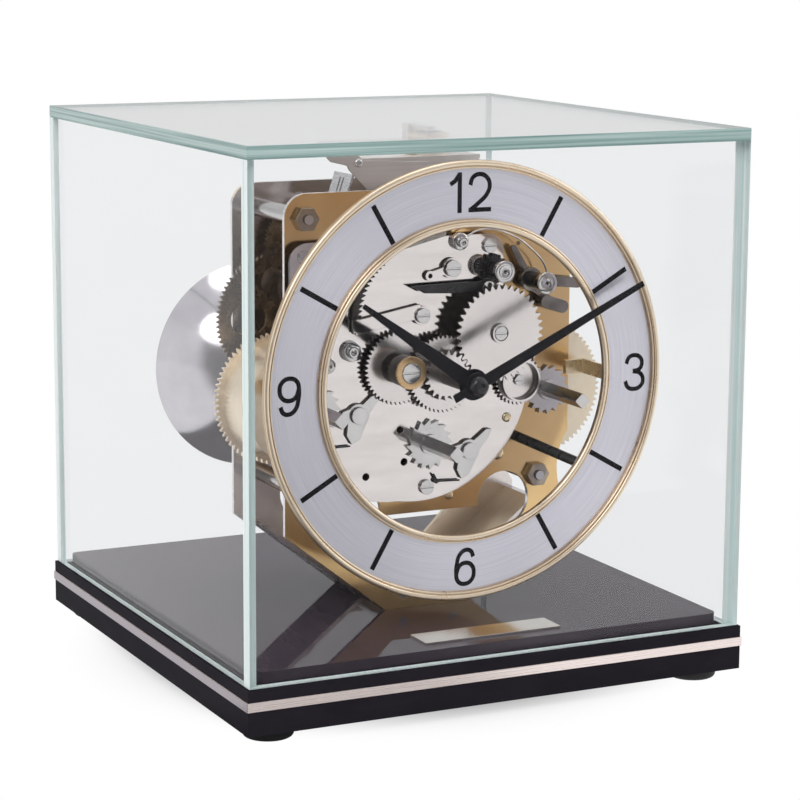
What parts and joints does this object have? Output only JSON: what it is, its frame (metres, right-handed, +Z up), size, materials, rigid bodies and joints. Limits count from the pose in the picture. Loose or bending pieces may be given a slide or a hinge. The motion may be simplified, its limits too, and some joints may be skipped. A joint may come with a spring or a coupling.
{
  "type": "chiming table clock",
  "caption": "Chiming table clock: skeleton movement with ring dial, bell and platform escapement under a lift-off glass hood on a black plinth.",
  "frame": {"origin": "middle of the footprint, on the surface that the four feet stand on", "axes": "+X to the right as the dial is read, +Y to the back, +Z up; the dial faces -Y"},
  "size_m": [0.231, 0.235, 0.238],
  "materials": {
    "black_lacquer": "piano-black lacquer",
    "bright_trim": "satin",
    "gloss_panel": "high gloss black",
    "black_rubber": "matte",
    "name_metal": "brushed, bare",
    "clear_glass": "clear float glass, green edges",
    "gold_plate": "polished, lacquered",
    "bright_steel": "turned, polished",
    "nickel": "polished nickel",
    "silver_dial": "circular brushed",
    "gold_rim": "polished gold",
    "dark_steel": "polished, dark",
    "wheel_brass": "polished",
    "hand_black": "satin black",
    "blued_steel": "blued",
    "bell_metal": "polished nickel plate"
  },
  "bodies": {
    "case": {"plinth": "black_lacquer", "trim_band": "bright_trim", "display_panel": "gloss_panel", "feet": "black_rubber", "name_plate": "name_metal", "seat_screws": "bright_steel", "front_plate": "gold_plate", "back_plate": "gold_plate", "plate_pillars": "bright_steel", "pillar_nuts": "bright_steel", "bridge_plate": "nickel", "bridge_posts": "bright_steel", "plate_studs": "bright_steel", "dial_ring": "silver_dial", "dial_rims": "gold_rim", "dial_brackets": "gold_plate", "dial_strut": "dark_steel", "platform": "nickel", "balance_cock": "nickel", "bell": "bell_metal", "bell_post": "wheel_brass", "click_springs": "bright_steel"},
    "glass_hood": {"glass_front": "clear_glass", "glass_back": "clear_glass", "glass_left": "clear_glass", "glass_right": "clear_glass", "glass_top": "clear_glass"},
    "centre_arbor": {"centre_arbor": "wheel_brass", "minute_hand": "hand_black", "hand_nut": "hand_black"},
    "hour_wheel": {"hour_wheel": "nickel", "hour_hand": "hand_black"},
    "balance": {"balance_wheel": "wheel_brass", "hairspring": "blued_steel"},
    "minute_wheel": {"minute_wheel": "nickel"},
    "night_wheel": {"night_wheel": "nickel"},
    "time_barrel": {"time_barrel": "wheel_brass"},
    "third_wheel": {"third_wheel": "wheel_brass"},
    "fourth_wheel": {"fourth_wheel": "wheel_brass"},
    "escape_wheel": {"escape_wheel": "wheel_brass"},
    "pallet_lever": {"pallet_lever": "bright_steel"},
    "strike_barrel": {"strike_barrel": "wheel_brass"},
    "strike_second_wheel": {"strike_second_wheel": "wheel_brass"},
    "strike_third_wheel": {"strike_third_wheel": "wheel_brass"},
    "strike_fly": {"strike_fly": "bright_steel"},
    "strike_rack": {"strike_rack": "dark_steel"},
    "hammer": {"hammer": "dark_steel"},
    "chime_barrel": {"chime_barrel": "wheel_brass"},
    "chime_second_wheel": {"chime_second_wheel": "wheel_brass"},
    "chime_third_wheel": {"chime_third_wheel": "wheel_brass"},
    "chime_fly": {"chime_fly": "bright_steel"},
    "count_wheel": {"count_wheel": "nickel"},
    "time_winder": {"time_winder": "dark_steel"},
    "strike_winder": {"strike_winder": "dark_steel"},
    "chime_winder": {"chime_winder": "dark_steel"},
    "time_click": {"time_click": "nickel"},
    "strike_click": {"strike_click": "nickel"},
    "chime_click": {"chime_click": "nickel"},
    "lifting_lever": {"lifting_lever": "dark_steel"},
    "silence_lever": {"silence_lever": "nickel"}
  },
  "joints": [
    {"name": "hood_lift", "type": "slide", "parent": "case", "child": "glass_hood", "axis": [0, 0, 1], "range_m": [0, 0.25]},
    {"name": "minute_turn", "type": "hinge", "parent": "case", "child": "centre_arbor", "pos_m": [0, -0.04, 0.133], "axis": [0, 1, 0], "continuous": true},
    {"name": "hour_turn", "type": "hinge", "parent": "case", "child": "hour_wheel", "pos_m": [0, -0.06, 0.133], "axis": [0, 1, 0], "continuous": true},
    {"name": "minute_wheel_turn", "type": "hinge", "parent": "case", "child": "minute_wheel", "pos_m": [-0.01982, -0.055, 0.13635], "axis": [0, 1, 0], "continuous": true},
    {"name": "night_wheel_turn", "type": "hinge", "parent": "case", "child": "night_wheel", "pos_m": [0.02502, -0.061, 0.14956], "axis": [0, 1, 0], "continuous": true},
    {"name": "time_barrel_turn", "type": "hinge", "parent": "case", "child": "time_barrel", "pos_m": [-0.0036, -0.026, 0.10201], "axis": [0, 1, 0], "continuous": true},
    {"name": "third_wheel_turn", "type": "hinge", "parent": "case", "child": "third_wheel", "pos_m": [0.00792, -0.015, 0.16256], "axis": [0, 1, 0], "continuous": true},
    {"name": "fourth_wheel_turn", "type": "hinge", "parent": "case", "child": "fourth_wheel", "pos_m": [0.00093, -0.015, 0.18864], "axis": [0, 1, 0], "continuous": true},
    {"name": "strike_second_turn", "type": "hinge", "parent": "case", "child": "strike_second_wheel", "pos_m": [-0.05067, -0.015, 0.15359], "axis": [0, 1, 0], "continuous": true},
    {"name": "strike_barrel_turn", "type": "hinge", "parent": "case", "child": "strike_barrel", "pos_m": [-0.0565, -0.03, 0.1205], "axis": [0, 1, 0], "continuous": true},
    {"name": "strike_third_turn", "type": "hinge", "parent": "case", "child": "strike_third_wheel", "pos_m": [-0.04215, -0.015, 0.18537], "axis": [0, 1, 0], "continuous": true},
    {"name": "strike_fly_turn", "type": "hinge", "parent": "case", "child": "strike_fly", "pos_m": [-0.03565, -0.025, 0.20231], "axis": [0, 1, 0], "continuous": true},
    {"name": "chime_second_turn", "type": "hinge", "parent": "case", "child": "chime_second_wheel", "pos_m": [0.05067, -0.015, 0.15359], "axis": [0, 1, 0], "continuous": true},
    {"name": "chime_barrel_turn", "type": "hinge", "parent": "case", "child": "chime_barrel", "pos_m": [0.0565, -0.03, 0.1205], "axis": [0, 1, 0], "continuous": true},
    {"name": "chime_third_turn", "type": "hinge", "parent": "case", "child": "chime_third_wheel", "pos_m": [0.04215, -0.015, 0.18537], "axis": [0, 1, 0], "continuous": true},
    {"name": "chime_fly_turn", "type": "hinge", "parent": "case", "child": "chime_fly", "pos_m": [0.03565, -0.025, 0.20231], "axis": [0, 1, 0], "continuous": true},
    {"name": "time_winding", "type": "hinge", "parent": "case", "child": "time_winder", "pos_m": [-0.0036, -0.03, 0.10201], "axis": [0, 1, 0], "continuous": true},
    {"name": "strike_winding", "type": "hinge", "parent": "case", "child": "strike_winder", "pos_m": [-0.0565, -0.03, 0.1205], "axis": [0, 1, 0], "continuous": true},
    {"name": "chime_winding", "type": "hinge", "parent": "case", "child": "chime_winder", "pos_m": [0.0565, -0.03, 0.1205], "axis": [0, 1, 0], "continuous": true},
    {"name": "time_click_swing", "type": "hinge", "parent": "case", "child": "time_click", "pos_m": [0.0154, -0.052, 0.09762], "axis": [0, 1, 0], "range_deg": [-12, 0], "stiffness_Nm_per_rad": 0.004},
    {"name": "strike_click_swing", "type": "hinge", "parent": "case", "child": "strike_click", "pos_m": [-0.0373, -0.052, 0.11711], "axis": [0, 1, 0], "range_deg": [-12, 0], "stiffness_Nm_per_rad": 0.004},
    {"name": "chime_click_swing", "type": "hinge", "parent": "case", "child": "chime_click", "pos_m": [0.03707, -0.0466, 0.1188], "axis": [0, 1, 0], "range_deg": [-12, 0], "stiffness_Nm_per_rad": 0.004},
    {"name": "count_wheel_turn", "type": "hinge", "parent": "case", "child": "count_wheel", "pos_m": [0.0387, -0.053, 0.1271], "axis": [0, 1, 0], "continuous": true},
    {"name": "rack_lift", "type": "hinge", "parent": "case", "child": "strike_rack", "pos_m": [-0.008, -0.0527, 0.158], "axis": [0, 1, 0], "range_deg": [0, 14]},
    {"name": "lifting_lever_lift", "type": "hinge", "parent": "case", "child": "lifting_lever", "pos_m": [0.022, -0.0548, 0.1685], "axis": [0, 1, 0], "range_deg": [0, 6]},
    {"name": "silence_lever_turn", "type": "hinge", "parent": "case", "child": "silence_lever", "pos_m": [0.0063, -0.0523, 0.1773], "axis": [0, 1, 0], "range_deg": [-25, 25]},
    {"name": "hammer_swing", "type": "hinge", "parent": "case", "child": "hammer", "pos_m": [0.018, 0.039, 0.085], "axis": [0, 1, 0], "range_deg": [-1, 22], "stiffness_Nm_per_rad": 0.02},
    {"name": "escape_turn", "type": "hinge", "parent": "case", "child": "escape_wheel", "pos_m": [0.00093, -0.0239, 0.224], "axis": [0, 0, 1], "continuous": true},
    {"name": "pallet_swing", "type": "hinge", "parent": "case", "child": "pallet_lever", "pos_m": [0.00693, -0.0199, 0.224], "axis": [0, 0, 1], "range_deg": [-6, 6]},
    {"name": "balance_swing", "type": "hinge", "parent": "case", "child": "balance", "pos_m": [0.01343, -0.0161, 0.2255], "axis": [0, 0, 1], "range_deg": [-140, 140], "stiffness_Nm_per_rad": 0.00002, "deforming": ["hairspring"]}
  ],
  "couplings": [
    {"joint": "hour_turn", "follows": "minute_turn", "ratio": 0.083333},
    {"joint": "minute_wheel_turn", "follows": "minute_turn", "ratio": -0.33333},
    {"joint": "night_wheel_turn", "follows": "minute_turn", "ratio": -0.041667},
    {"joint": "time_barrel_turn", "follows": "minute_turn", "ratio": -0.18182},
    {"joint": "third_wheel_turn", "follows": "minute_turn", "ratio": -8},
    {"joint": "fourth_wheel_turn", "follows": "minute_turn", "ratio": 64},
    {"joint": "strike_barrel_turn", "follows": "strike_second_turn", "ratio": -0.16667},
    {"joint": "strike_third_turn", "follows": "strike_second_turn", "ratio": -8.4},
    {"joint": "strike_fly_turn", "follows": "strike_second_turn", "ratio": 47.04},
    {"joint": "chime_barrel_turn", "follows": "chime_second_turn", "ratio": -0.16667},
    {"joint": "chime_third_turn", "follows": "chime_second_turn", "ratio": -8.4},
    {"joint": "chime_fly_turn", "follows": "chime_second_turn", "ratio": 47.04}
  ]
}
